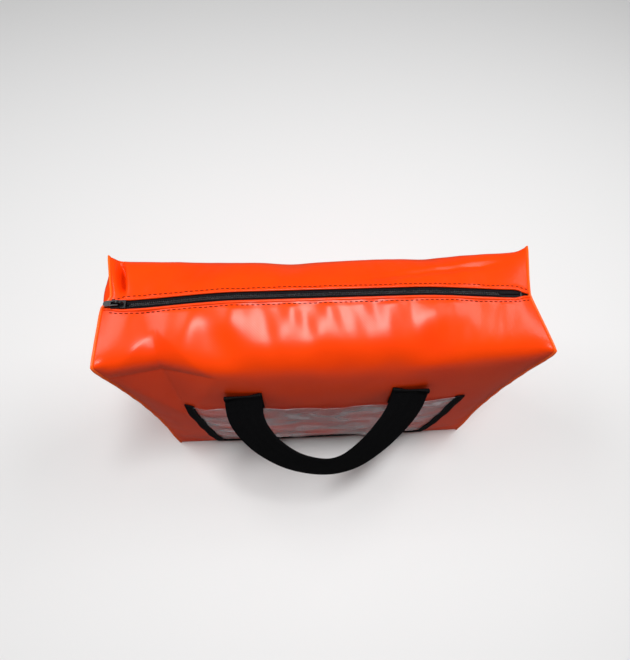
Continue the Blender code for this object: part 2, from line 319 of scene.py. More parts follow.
def scatter(name, shape, faces, places, material):
    """Copies of one small shape in one mesh. places are (point, x axis, y axis, z axis) for each copy."""
    shape = np.asarray(shape, float)
    points, copies = [], []
    for number, (point, *axes) in enumerate(places):
        points.append(np.asarray(point) + shape @ np.array(axes, float))
        copies.append(np.asarray(faces) + number * len(shape))
    return mesh_object(name, np.concatenate(points), np.concatenate(copies), material)


def pebble(length, width, height, rings=4, around=8):
    """A small rounded bar along X, as points and quads."""
    points, faces = [], []
    for ring in range(rings + 1):
        turn = math.pi * ring / rings
        size = max(math.sin(turn), 0.12) ** 0.5
        for step in range(around):
            angle = 2 * math.pi * step / around
            y = width / 2 * size * math.cos(angle)
            z = height / 2 * size * math.sin(angle)
            points.append((-length / 2 * math.cos(turn), y, z))
    for ring in range(rings):
        for step in range(around):
            here, there = ring * around + step, ring * around + (step + 1) % around
            faces.append((here, there, there + around, here + around))
    for start in (0, rings * around):
        loop = [start + step for step in range(around)]
        loop = loop[::-1] if start == 0 else loop
        for step in range(1, around - 2, 2):
            faces.append((loop[0], loop[step], loop[step + 1], loop[step + 2]))
    return points, faces


def resample(path, pitch, start=0.0):
    """Points at an even pitch along a path, with the path's direction at each."""
    run = run_of(path)
    at = np.arange(start, run[-1] - start + 1e-9, pitch)
    points = np.stack([np.interp(at, run, path[:, axis]) for axis in range(3)], 1)
    return points, unit(np.gradient(points, axis=0))


# ---------------------------------------------------------------- materials


class Nodes:
    """Short calls that build one Principled material."""

    def __init__(self, name):
        self.material = bpy.data.materials.new(name)
        self.material.use_nodes = True
        self.tree = self.material.node_tree
        self.shader = self.tree.nodes["Principled BSDF"]

    def add(self, kind, inputs=None, **settings):
        node = self.tree.nodes.new(kind)
        for key, value in settings.items():
            setattr(node, key, value)
        for key, value in (inputs or {}).items():
            self.put(node.inputs[key], value)
        return node

    def put(self, socket, value):
        if isinstance(value, bpy.types.NodeSocket):
            self.tree.links.new(value, socket)
        else:
            socket.default_value = value

    def set(self, **inputs):
        for key, value in inputs.items():
            self.put(self.shader.inputs[key.replace("_", " ")], value)

    def math(self, operation, a, b=0.0):
        return self.add("ShaderNodeMath", {0: a, 1: b}, operation=operation).outputs[0]

    def wave(self, value, length):
        """A sine wave of that length along the value."""
        return self.math("SINE", self.math("MULTIPLY", value, 2 * math.pi / length))

    def noise(self, vector, scale, detail=4.0, roughness=0.5):
        settings = {"Vector": vector, "Scale": scale, "Detail": detail, "Roughness": roughness}
        return self.add("ShaderNodeTexNoise", settings).outputs["Fac"]

    def ramp(self, value, stops):
        node = self.add("ShaderNodeValToRGB", {"Fac": value})
        while len(node.color_ramp.elements) < len(stops):
            node.color_ramp.elements.new(0.5)
        for element, (place, colour) in zip(node.color_ramp.elements, stops):
            element.position = place
            element.color = (*colour, 1.0)
        return node.outputs["Color"]

    def remap(self, value, low, high):
        inputs = {"Value": value, "To Min": low, "To Max": high}
        return self.add("ShaderNodeMapRange", inputs).outputs["Result"]

    def split(self, vector):
        return self.add("ShaderNodeSeparateXYZ", {"Vector": vector}).outputs

    def weave(self, vector, pitch):
        """Height of a plain weave: threads over and under each other, at that pitch in metres."""
        place = self.split(vector)
        return self.math("MULTIPLY", self.wave(place["X"], 2 * pitch), self.wave(place["Y"], 2 * pitch))

    def bump(self, height, distance, strength):
        inputs = {"Height": height, "Distance": distance, "Strength": strength}
        return self.add("ShaderNodeBump", inputs).outputs["Normal"]

    def cloth_place(self):
        return self.add("ShaderNodeUVMap", uv_map="cloth").outputs["UV"]

    def object_place(self):
        return self.add("ShaderNodeTexCoord").outputs["Object"]


def coated_sheet(name, colour, deep):
    """Coated woven sheet: glossy colour with the scrim showing through as a fine emboss, most at the top."""
    n = Nodes(name)
    place = n.object_place()
    patches = n.noise(place, 14.0, 5.0)
    n.set(Base_Color=n.ramp(patches, ((0.25, deep), (0.6, colour))))
    heights = {"Value": n.split(place)["Z"], "From Min": 0.22, "From Max": 0.30, "To Min": 0.2}
    shows = n.add("ShaderNodeMapRange", heights).outputs["Result"]
    weave = n.math("MULTIPLY", n.weave(n.cloth_place(), 0.0013), shows)
    n.set(Roughness=0.285, Specular_IOR_Level=0.24, Normal=n.bump(weave, 0.00006, 0.4))
    return n.material


def webbing_material(name):
    """Black woven webbing: ribs across, with a twill in them, and a soft nylon sheen."""
    n = Nodes(name)
    place = n.split(n.cloth_place())
    zigzag = n.math("ADD", place["X"], n.math("PINGPONG", place["Y"], 0.0050))
    twill = n.math("MULTIPLY", n.wave(zigzag, 0.0022), 0.6)
    threads = n.math("MULTIPLY", n.wave(place["Y"], 0.0011), 0.4)
    height = n.math("ADD", twill, threads)
    fuzz = n.noise(n.object_place(), 900.0, 3.0, 0.7)
    shade = n.math("ADD", n.math("MULTIPLY", height, 0.25), fuzz)
    n.set(Base_Color=n.ramp(shade, ((0.2, (0.0008, 0.0008, 0.0010)), (0.9, (0.006, 0.006, 0.007)))))
    n.set(Roughness=0.6, Specular_IOR_Level=0.08)
    n.set(Normal=n.bump(n.math("ADD", height, n.math("MULTIPLY", fuzz, 0.5)), 0.00022, 0.8))
    return n.material


def grosgrain(name):
    """Black ribbed binding tape."""
    n = Nodes(name)
    rib = n.wave(n.split(n.cloth_place())["X"], 0.0009)
    fuzz = n.noise(n.object_place(), 700.0, 3.0, 0.6)
    n.set(Base_Color=n.ramp(fuzz, ((0.3, (0.002, 0.002, 0.003)), (0.8, (0.009, 0.008, 0.011)))))
    n.set(Roughness=0.7, Specular_IOR_Level=0.12)
    n.set(Normal=n.bump(n.math("ADD", rib, fuzz), 0.00012, 0.8))
    return n.material


def thread(name, colour):
    """Twisted sewing thread."""
    n = Nodes(name)
    twist = n.noise(n.object_place(), 1500.0, 2.0)
    n.set(Base_Color=n.ramp(twist, ((0.3, tuple(c * 0.6 for c in colour)), (0.7, colour))))
    n.set(Roughness=0.6, Specular_IOR_Level=0.08, Normal=n.bump(twist, 0.0001, 0.6))
    return n.material


def coil_plastic(name):
    """Black nylon of the zip's coils."""
    n = Nodes(name)
    grain = n.noise(n.object_place(), 500.0, 3.0)
    n.set(Base_Color=n.ramp(grain, ((0.3, (0.002, 0.002, 0.003)), (0.8, (0.010, 0.009, 0.013)))))
    n.set(Roughness=n.remap(grain, 0.18, 0.34), Specular_IOR_Level=0.4)
    n.set(Normal=n.bump(grain, 0.00008, 0.4))
    return n.material


def slider_paint(name):
    """Black enamel on cast metal, worn a little where the grain stands up."""
    n = Nodes(name)
    place = n.object_place()
    wear = n.noise(place, 650.0, 6.0, 0.65)
    n.set(Base_Color=n.ramp(wear, ((0.66, (0.004, 0.004, 0.005)), (0.80, (0.06, 0.06, 0.063)))))
    n.set(Metallic=0.2, Roughness=n.remap(wear, 0.22, 0.42), Specular_IOR_Level=0.4)
    n.set(Normal=n.bump(n.noise(place, 300.0, 4.0), 0.00012, 0.5))
    return n.material


def clear_film(name):
    """Soft clear vinyl: glossy, with a faint milky haze of its own, and more opaque whitish mauve streaks
    along noise lines that are painted glare.
    """
    n = Nodes(name)
    place = n.object_place()
    cloud = n.noise(place, 9.0, 5.0, 0.6)
    bent = n.add("ShaderNodeVectorMath", {0: place, 1: (1.0, 0.4, 1.7)}, operation="MULTIPLY").outputs[0]
    streaks = n.noise(bent, 10.0, 3.0, 0.55)
    # Painted glare: along these noise lines, which are not the film's folds, the film turns more opaque and
    # whitish and stands in for reflected light.
    crease = n.math("ABSOLUTE", n.math("SUBTRACT", streaks, 0.5))
    stops = ((0.0, 0.56), (0.03, 0.40), (0.09, 0.24), (0.2, 0.12))
    haze_and_painted_glare = n.ramp(crease, [(at, (level,) * 3) for at, level in stops])
    # The whitish mauve base shows mostly in the painted glare streaks. It shows only faintly elsewhere, as
    # the film's own haze.
    n.set(Base_Color=n.ramp(cloud, ((0.3, (0.70, 0.64, 0.68)), (0.7, (0.95, 0.93, 0.95)))))
    n.set(Alpha=haze_and_painted_glare, Roughness=n.remap(cloud, 0.05, 0.14))
    ripples = n.noise(place, 34.0, 4.0, 0.55)
    n.set(Specular_IOR_Level=0.8, Coat_Weight=1.0, Coat_Roughness=0.04)
    n.set(Normal=n.bump(ripples, 0.0012, 0.5))
    return n.material


def board_material(name):
    """Dark board, for the stiffener in the base."""
    n = Nodes(name)
    grain = n.noise(n.object_place(), 220.0, 5.0)
    n.set(Base_Color=n.ramp(grain, ((0.3, (0.03, 0.03, 0.033)), (0.7, (0.07, 0.07, 0.075)))))
    n.set(Roughness=0.6, Normal=n.bump(grain, 0.0002, 0.6))
    return n.material


ORANGE = coated_sheet("orange_sheet", (0.82, 0.050, 0.001), (0.77, 0.040, 0.001))
# The welts wear a lighter, yellower copy of the orange sheet. This is a painted highlight along the raised
# seam edges.
WELT_PAINTED_HIGHLIGHT = coated_sheet("welt_sheet_painted_highlight", (0.90, 0.120, 0.010), (0.84, 0.085, 0.005))
THREAD = thread("dark_red_thread", (0.12, 0.007, 0.003))
BLACK_THREAD = thread("black_thread", (0.03, 0.03, 0.033))
WEBBING_BLACK = webbing_material("webbing_black")
BINDING_BLACK = grosgrain("binding_black")
TAPE_BLACK = grosgrain("tape_black")
COIL = coil_plastic("coil_black")
SLIDER = slider_paint("slider_black")
CLEAR = clear_film("clear_film")
BOARD = board_material("board_black")


# ---------------------------------------------------------------- shell


def zip_height(x):
    """Height of the zip's middle along the bag."""
    share = np.abs(x) / END_X
    rise = ZIP_RISE * (1 - smooth(share, 0.35, 0.95))
    fall = (ZIP_Z - ZIP_END_Z) * smooth(share, 0.94, 1.0)
    return ZIP_Z + rise - fall


def zip_lean(x):
    """How far the zip's line lies behind the middle of the top."""
    return ZIP_LEAN * (1 - smooth(np.abs(x) / END_X, 0.4, 0.94))


def mouth_half(x):
    """Half of the gap between the top's two edges, which close up at the zip's ends."""
    return MOUTH_Y * (1 - 0.75 * smooth(np.abs(x) / END_X, 0.90, 0.995))


def half_section(share):
    """The front half of the bag's outline at that share of its half length, as (out, up) points."""
    full = 1 - share * share
    mouth_y = float(mouth_half(share * END_X))
    radius = CORNER_RADIUS + ROLL_RADIUS * full**0.6
    fold_z = CORNER_Z + 0.0045 * full**0.5
    wall = fold_z - radius
    arc = radius * math.pi / 2
    top = SEAM_Y - radius - mouth_y
    fold = wall + arc / 2
    past_fold = np.linspace(0, arc / 2 + top, FLAP + 1)[1:]
    lengths = np.concatenate([np.linspace(0, fold, UP + 1), fold + past_fold])
    mouth_z = float(zip_height(share * END_X))
    points = []
    for run in lengths:
        if run <= wall:
            out, up = SEAM_Y, STANDS + run * (1 - STANDS / wall)
        elif run <= wall + arc:
            angle = (run - wall) / radius
            out = SEAM_Y - radius + radius * math.cos(angle)
            up = wall + radius * math.sin(angle)
        else:
            along = (run - wall - arc) / top
            out = SEAM_Y - radius - along * top
            up = fold_z + (mouth_z - fold_z) * along * (2 - along)
        if run < wall + arc:
            level = min(up / fold_z, 1.0)
            out += WALL_BULGE * full**0.75 * max(math.sin(math.pi * level), 0) ** 0.8
        points.append((out, up))
    return points


def shell_start():
    """Points of the shell before it settles, by cell corner (along, across, up)."""
    places = {}
    for i in range(LONG + 1):
        x = END_X * (2 * i / LONG - 1)
        outline = half_section(2 * i / LONG - 1)
        lean = float(zip_lean(x))
        for side, row in ((-1, 0), (1, ACROSS)):
            for k, (out, up) in enumerate(outline[: UP + 1]):
                places[i, row, k] = (x, side * out, up)
            for m, (out, up) in enumerate(outline[UP + 1 :], 1):
                j = m if side < 0 else ACROSS - m
                places[i, j, UP] = (x, side * out + lean * m / FLAP, up)
        places[i, FLAP + 1, UP] = (x, lean, outline[-1][1])
        for j in range(1, ACROSS):
            places[i, j, 0] = (x, SEAM_Y * (2 * j / ACROSS - 1), STANDS)
    for i, side in ((0, -1), (LONG, 1)):
        for k in range(1, UP):
            for j in range(1, ACROSS):
                top = places[i, j, UP]
                level = k / UP
                y = top[1] * level + SEAM_Y * (2 * j / ACROSS - 1) * (1 - level)
                swell = 0.004 * math.sin(math.pi * level) * math.sin(math.pi * j / ACROSS)
                places[i, j, k] = (side * (END_X - swell), y, STANDS + (top[2] - STANDS) * level)
    return places


def shell_quads():
    """The shell's faces as corner keys: front, back, top, base and the two ends."""
    quads = []
    back = ACROSS
    for i in range(LONG):
        after = i + 1
        for k in range(UP):
            quads.append([(i, 0, k), (after, 0, k), (after, 0, k + 1), (i, 0, k + 1)])
            quads.append([(after, back, k), (i, back, k), (i, back, k + 1), (after, back, k + 1)])
        for j in range(ACROSS):
            quads.append([(i, j, UP), (after, j, UP), (after, j + 1, UP), (i, j + 1, UP)])
            quads.append([(after, j, 0), (i, j, 0), (i, j + 1, 0), (after, j + 1, 0)])
    for j in range(ACROSS):
        for k in range(UP):
            quads.append([(0, j + 1, k), (0, j, k), (0, j, k + 1), (0, j + 1, k + 1)])
            quads.append([(LONG, j, k), (LONG, j + 1, k), (LONG, j + 1, k + 1), (LONG, j, k + 1)])
    return quads


def is_held(key):
    """The base, the zip and the four top corners stay where they are."""
    i, j, k = key
    on_zip = k == UP and abs(j - FLAP - 1) <= 1
    corner = i in (0, LONG) and j in (0, ACROSS) and k == UP
    return k == 0 or on_zip or corner


def settle(places):
    """Cloth simulation: the filled bag's pressure rounds the sheet between its seams."""
    keys = list(places)
    number = {key: n for n, key in enumerate(keys)}
    faces = [[number[key] for key in quad] for quad in shell_quads()]
    start = np.array([places[key] for key in keys])
    obj = mesh_object("settling_shell", start, faces, ORANGE)
    held = obj.vertex_groups.new(name="held")
    held.add([number[key] for key in keys if is_held(key)], 1.0, "REPLACE")
    modifier = obj.modifiers.new("settle", "CLOTH")
    settings = modifier.settings
    settings.quality = 7
    settings.mass = 0.15
    settings.tension_stiffness = 30
    settings.compression_stiffness = 30
    settings.shear_stiffness = 12
    settings.bending_stiffness = 6.0
    settings.shrink_min = -0.009
    settings.use_pressure = True
    settings.uniform_pressure_force = 2.8
    settings.vertex_group_mass = "held"
    settings.effector_weights.gravity = 0.0
    modifier.collision_settings.use_collision = False
    modifier.point_cache.frame_end = FRAMES
    for step in range(1, FRAMES + 1):
        bpy.context.scene.frame_set(step)
    settled = obj.evaluated_get(bpy.context.evaluated_depsgraph_get())
    now = np.zeros(len(keys) * 3)
    settled.data.vertices.foreach_get("co", now)
    move = now.reshape(-1, 3) - start
    length = np.maximum(np.linalg.norm(move, axis=1, keepdims=True), 1e-9)
    now = start + move * np.minimum(1.0, FURTHEST / length)
    bpy.data.objects.remove(obj)
    bpy.context.scene.frame_set(1)
    return {key: now[n] for key, n in number.items()}


def flatten_walls(places):
    """Keeps the front and back near the surface that the frame gives them, with a little of their swell."""
    for key, (x, y, z) in places.items():
        if key[1] in (0, ACROSS):
            level = 2 * min(z / FOLD.z, 1.0) - 1
            swell = max(1 - (x / END_X) ** 2, 0.0) * (1 - level * level)
            limit = -FOLD.y + (FOLD.y - WALL_LOW.y) * swell - 0.0005
            past = max(abs(y) - limit, 0.0)
            places[key] = (x, math.copysign(abs(y) - past * DRAWN_BACK, y), z)
    return places


def seam_tuck(y):
    """How far the left end's seam is tucked in there: most where the back edge of the zip meets it."""
    return np.clip((SEAM_Y - y) / (SEAM_Y - 0.010), 0, 1) * smooth(y, -0.004, 0.012)


def draw_in_ends(places):
    """The zip draws both end seams in, and the left end stands out past its seam at the back."""
    drawn = {}
    for (i, j, k), (x, y, z) in places.items():
        level = k / UP
        past = max(abs(x) - END_X, 0.0)
        hollow = END_HOLLOW * smooth(abs(x), END_X - 0.05, END_X) * math.sin(math.pi * level) ** 0.8
        x -= math.copysign(past * 0.8 + hollow, x)
        if x > 0:
            near = smooth(x, END_X - 0.060, END_X)
            waist = max(1 - abs(y / SEAM_Y) ** 1.2, 0.0)
            x -= RIGHT_WAIST * near * waist * smooth(level, 0.55, 1.0)
        else:
            near = smooth(-x, END_X - 0.040, END_X)
            waist = max(1 - abs(y / SEAM_Y) ** 2, 0.0)
            tuck = near * seam_tuck(y)
            x += LEFT_TUCK * tuck * (k == UP) - LEFT_EDGE * tuck * (k in (UP - 1, UP - 2))
            x += LEFT_WAIST * near * waist * smooth(level, 0.8, 1.0)
            z += LEFT_SHELF.get(k, 0.0) * near**2 * tuck
        drawn[i, j, k] = (x, y, z)
    return drawn


def relaxed(grid, passes):
    """The grid with its inner points drawn towards their neighbours, that many times."""
    for turn in range(passes):
        near = grid[:-2, 1:-1] + grid[2:, 1:-1] + grid[1:-1, :-2] + grid[1:-1, 2:]
        grid[1:-1, 1:-1] += 0.5 * (near / 4 - grid[1:-1, 1:-1])
    return grid


def shell_grids(places):
    """The settled shell as grids of fine points: the two sheets, the base, the mouth and the two ends."""

    def grid(keys, passes=0):
        """The fine grid through the points at those keys."""
        return finer(relaxed(np.array([[places[key] for key in row] for row in keys]), passes))

    along, up, across, top = (range(count + 1) for count in (LONG, UP, ACROSS, FLAP - 1))
    front = [[(i, 0, k) for k in up] + [(i, j + 1, UP) for j in top] for i in along]
    back = [[(i, ACROSS, k) for k in up] + [(i, ACROSS - j - 1, UP) for j in top] for i in along]
    return {
        "front": grid(front, RELAXING["front"]),
        "back": grid(back, RELAXING["back"]),
        "base": grid([[(i, j, 0) for j in across] for i in along]),
        "mouth": grid([[(i, j, UP) for j in range(FLAP, FLAP + 3)] for i in along]),
        "left": grid([[(0, j, k) for k in up] for j in across]),
        "right": grid([[(LONG, j, k) for k in up] for j in across]),
    }


def pucker(grid, face):
    """Adds the small folds that the zip's stitching draws in, and each half's own dents and creases."""
    x = grid[..., 0]
    rows = np.linspace(0, UP + FLAP, grid.shape[1])[None, :]
    from_mouth = (UP + FLAP - rows) / FLAP  # 0 at the mouth and 1 at the fold
    out = normals(grid)
    fade = np.exp(-((from_mouth - 0.12) / 0.75) ** 2) * smooth(from_mouth, 0.0, 0.15)
    ends = 1 - smooth(np.abs(x), 0.17, 0.21)
    lift = np.zeros_like(x)
    shift = 0.0 if face == "front" else 1.7
    for number, (pitch, size) in enumerate(PUCKERS):
        slant = x + 0.022 * from_mouth * np.sin(2.3 * number + shift + 14 * x)
        wave = np.sin(2 * math.pi * slant / pitch + 1.3 * number + shift + 2.0 * np.sin(9 * x + shift))
        lift += size * wave * (0.45 + 0.55 * np.sin(13 * x + number + shift) ** 2)
    stitch = ridge(from_mouth, STITCH_INSET / TOP_HALF, 0.03)
    moved = grid + out * ((lift * fade - STITCH_GROOVE * stitch) * ends)[..., None]
    if face == "front":
        reach = np.where(rows > DENT_ROW, 8.5, 16.0)
        dent = 1 - np.abs(x - DENT_X) / DENT_REACH - np.abs(rows - DENT_ROW) / reach
        dent = 0.5 * (dent + np.sqrt(dent**2 + 0.004)) * smooth(x, -0.219, -0.206)
        moved = moved - out * (DENT_DEPTH * dent)[..., None]
    else:
        y = grid[..., 1]
        on_top = smooth(rows, UP - 1, UP + 1)
        from_seam = x - grid[:1, :, 0]
        valley = ridge(from_seam, 0.0100, 0.0030) * ridge(y, 0.037, 0.017)
        crest = ridge(from_seam, 0.0030, 0.0028) * ridge(y, 0.030, 0.020)
        line = 0.030 + 0.13 * (x - 0.10)
        crease = ridge(y, line, 0.0045) * smooth(x, -0.015, 0.14) * (1 - smooth(x, 0.16, 0.20))
        moved[..., 2] += (CORNER_CREST * crest - CORNER_VALLEY * valley - CREASE_DEPTH * crease) * on_top
    return moved


# ---------------------------------------------------------------- bag


def opening_share(x):
    """How far the top opens there: nothing at its sewn ends, and all of the joint's turn at the middle."""
    return np.clip(1 - (np.asarray(x, float) / OPENS_TO) ** 2, 0, 1) ** 1.6


def open_with(obj, face, roll=True):
    """Bends a piece of the top with its flap's joint, as an arch between the sewn ends."""
    side = FACES[face]
    low = (0.0, side * (-FOLD.y + 0.004), FOLD.z - 0.030)
    high = (0.0, side * (-FOLD.y - 0.026), FOLD.z + 0.004)
    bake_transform(obj, "bag", f"{face}_flap", low, high)
    weights = obj.data.attributes["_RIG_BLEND"]
    share = np.zeros(len(obj.data.vertices), np.float32)
    weights.data.foreach_get("value", share)
    points = np.zeros(len(share) * 3, np.float32)
    obj.data.vertices.foreach_get("co", points)
    if not roll:
        share[:] = 1.0
    weights.data.foreach_set("value", (share * opening_share(points[::3])).astype(np.float32))


def on_grid(grid, row, column):
    """The value at fractional places of a grid."""
    row = np.clip(row, 0, grid.shape[0] - 1.001)
    column = np.clip(column, 0, grid.shape[1] - 1.001)
    i, j = np.floor(row).astype(int), np.floor(column).astype(int)
    a, b = (row - i)[..., None], (column - j)[..., None]
    return (
        grid[i, j] * (1 - a) * (1 - b)
        + grid[i + 1, j] * a * (1 - b)
        + grid[i, j + 1] * (1 - a) * b
        + grid[i + 1, j + 1] * a * b
    )


def dashes(name, path, outs, material, lift, pitch=STITCH_PITCH, length=STITCH_LENGTH):
    """A row of stitches along a path, lying on the surface that outs stand up from."""
    run = run_of(path)
    at = np.arange(pitch, run[-1] - pitch * 0.5, pitch)

    def along(values):
        """The values at each stitch."""
        return np.stack([np.interp(at, run, values[:, axis]) for axis in range(3)], 1)

    points, ups = along(path), along(outs)
    ahead = unit(along(np.gradient(path, axis=0)))
    ups = unit(ups - ahead * np.sum(ups * ahead, 1, keepdims=True))
    shape, faces = pebble(length, STITCH_WIDTH, STITCH_WIDTH * 0.8)
    places = [(point + up * lift, a, np.cross(up, a), up) for point, a, up in zip(points, ahead, ups)]
    return scatter(name, shape, faces, places, material)


def add_sheet(grid, face):
    """One wall with its half of the top, and the hem and stitches along its mouth. Gives its normals."""
    uv = flat_lengths(grid)
    sheet = cloth(f"{face}_sheet", grid, uv, ORANGE, SHEET, flip=face == "front")
    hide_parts(f"{face}_panel", f"{face}_top_flap")
    open_with(sheet, face)

    out = normals(grid)
    out *= np.sign(out[len(grid) // 2, -2, 2])
    edge = grid[:, -1]
    up = out[:, -2]
    keep = np.abs(edge[:, 0]) < END_X - 0.003
    across = np.gradient(grid, axis=1)[:, -1]
    inward = unit(edge - grid[:, -2])
    hem_path = edge[keep] + up[keep] * HEM * 0.4 - inward[keep] * HEM
    hem = sweep(f"{face}_mouth_hem", hem_path, across[keep], oval(HEM * 1.35, HEM), ORANGE)
    open_with(hem, face, roll=False)

    columns = np.arange(len(grid))
    rows = np.full(len(grid), grid.shape[1] - 1 - STITCH_INSET / (TOP_HALF / (FLAP * FINE)))
    path, ups = on_grid(grid, columns, rows), on_grid(out, columns, rows)
    keep = np.abs(path[:, 0]) < END_X - 0.006
    stitches = dashes(f"{face}_mouth_stitches", path[keep], ups[keep], THREAD, SHEET / 2 + 0.0002)
    open_with(stitches, face, roll=False)
    return out


def add_ends(grids):
    """End panels, the base, and a welt round each end's seam."""
    for name, side in (("left", -1), ("right", 1)):
        grid = grids[name]
        panel = cloth(f"{name}_end_sheet", grid, flat_lengths(grid), ORANGE, SHEET, flip=side < 0)
        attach(panel, "bag")
        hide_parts(f"{name}_end_panel")
        loop = np.concatenate([grid[0, :-1], grid[:-1, -1], grid[-1, :0:-1], grid[:0:-1, 0]])
        outward = loop - loop.mean(0)
        outward[:, 0] = 0
        # The welt's lighter orange is a painted highlight along the seam.
        welt = sweep(
            f"{name}_seam_welt",
            loop + np.array([side * 0.0004, 0, 0]),
            outward + np.array([side * 0.05, 0, 0]),
            oval(WELT * 1.25, WELT * 0.75, 12),
            WELT_PAINTED_HIGHLIGHT,
            closed=True,
        )
        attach(welt, "bag")
        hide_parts(f"{name}_edge_piping")
    base = cloth("base_sheet", grids["base"], flat_lengths(grids["base"]), ORANGE, SHEET, flip=True)
    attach(base, "bag")
    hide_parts("base_panel")


# ---------------------------------------------------------------- zip


def add_zip(grids, outs):
    """Tape, coil and the coil's stitching under each edge of the mouth."""
    middle = grids["mouth"][:, FINE]
    keep = np.abs(middle[:, 0]) < END_X - 0.0025
    middle = middle[keep]
    inside = middle[(middle[:, 0] > CHAIN_LOW.x) & (middle[:, 0] < CHAIN_HIGH.x)]
    for face, side in FACES.items():
        under = -outs[face][keep][:, ::-1] * TAPE_UNDER + grids[face][keep][:, ::-1]
        under = under[:, 1 : int(TAPE_OUT / TOP_CELL)]
        inner = middle + np.array([0.0, side * 0.0004, -0.0010])
        share = np.linspace(0, 1, 5)[:-1, None, None]
        bridge = (inner * (1 - share) + under[:, 0] * share).transpose(1, 0, 2)
        woven = np.concatenate([bridge, under], 1)
        tape = cloth(f"zip_tape_{face}_woven", woven, flat_lengths(woven), TAPE_BLACK, TAPE, flip=side > 0)
        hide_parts(f"zip_tape_{face}")
        open_with(tape, face, roll=False)

        path, ahead = resample(inside, TOOTH_PITCH, 0.0 if side < 0 else TOOTH_PITCH / 2)
        long, wide, high = TOOTH_SIZE
        shape, faces = pebble(wide, long, high)
        ups = np.cross(ahead, (0.0, 1.0, 0.0))
        places = []
        for point, a, up in zip(path, ahead, ups):
            across = np.cross(up, a)
            lean = unit(across + a * TOOTH_LEAN)
            places.append((point + across * side * 0.0009, lean, np.cross(up, lean), up))
        teeth = scatter(f"zip_coil_{face}", shape, faces, places, COIL)
        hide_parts(f"zip_chain_{face}")
        open_with(teeth, face, roll=False)

        line = inside + np.array([0, side * 0.0023, -0.0001])
        sides = np.tile((0.0, 1.0, 0.0), (len(line), 1))
        stitching = sweep(f"zip_coil_stitching_{face}", line, sides, oval(0.0006, 0.0004, 8), TAPE_BLACK)
        open_with(stitching, face, roll=False)


def add_stops(grids):
    """Pressed metal stops at the zip's two ends, on the line of the coils."""
    middle = grids["mouth"][:, FINE]
    single = pebble(0.0034, 0.0022, 0.0018, 6, 12)
    double = pebble(0.0072, 0.0026, 0.0020, 6, 12)
    shapes = {"zip_top_stop_front": single, "zip_top_stop_back": single, "zip_bottom_stop": double}
    for name, (shape, faces) in shapes.items():
        low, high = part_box(name)
        x, y = (low.x + high.x) / 2, (low.y + high.y) / 2
        point = (x, y, float(np.interp(x, middle[:, 0], middle[:, 2])))
        place = (point, (0, 1, 0), (-1, 0, 0), (0, 0, 1))
        stop = scatter(name + "_pressed", shape, faces, [place], SLIDER)
        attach(stop, "bag")
        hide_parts(name)


def finish_cad_pieces():
    """Materials for the pieces that are shown as the frame has them."""
    finishes = {"zip_slider_body": SLIDER, "zip_pull_tab": SLIDER, "base_board": BOARD}
    for name, material in finishes.items():
        frame["nodes"][name].data.materials[0] = material


# ---------------------------------------------------------------- window


def wall_place(grid, x, z):
    """Fractional grid places on a wall, for x along it and z up it."""
    columns = np.interp(x, np.linspace(-END_X, END_X, grid.shape[0]), np.arange(grid.shape[0]))
    rows = z / (CORNER_Z - CORNER_RADIUS) * (UP * FINE)
    return columns, rows


def on_wall(grid, out, x, z, stands):
    """Points that stand that far off a wall."""
    place = wall_place(grid, x, z)
    return on_grid(grid, *place) + on_grid(out, *place) * np.asarray(stands)[..., None]


def crumple(x, z):
    """Height of the film's folds there: two sets of sharp ridges, at a slant to each other."""
    first = 1 - abs(noise.noise(Vector((x * 9.0, z * 16.0, 2.0)))) * 2.2
    second = 1 - abs(noise.noise(Vector((x * 11.0 + z * 15.0, z * 5.0 - x * 4.0, 7.0)))) * 2.4
    return 0.0022 * max(first, 0) ** 3 + 0.0019 * max(second, 0) ** 3


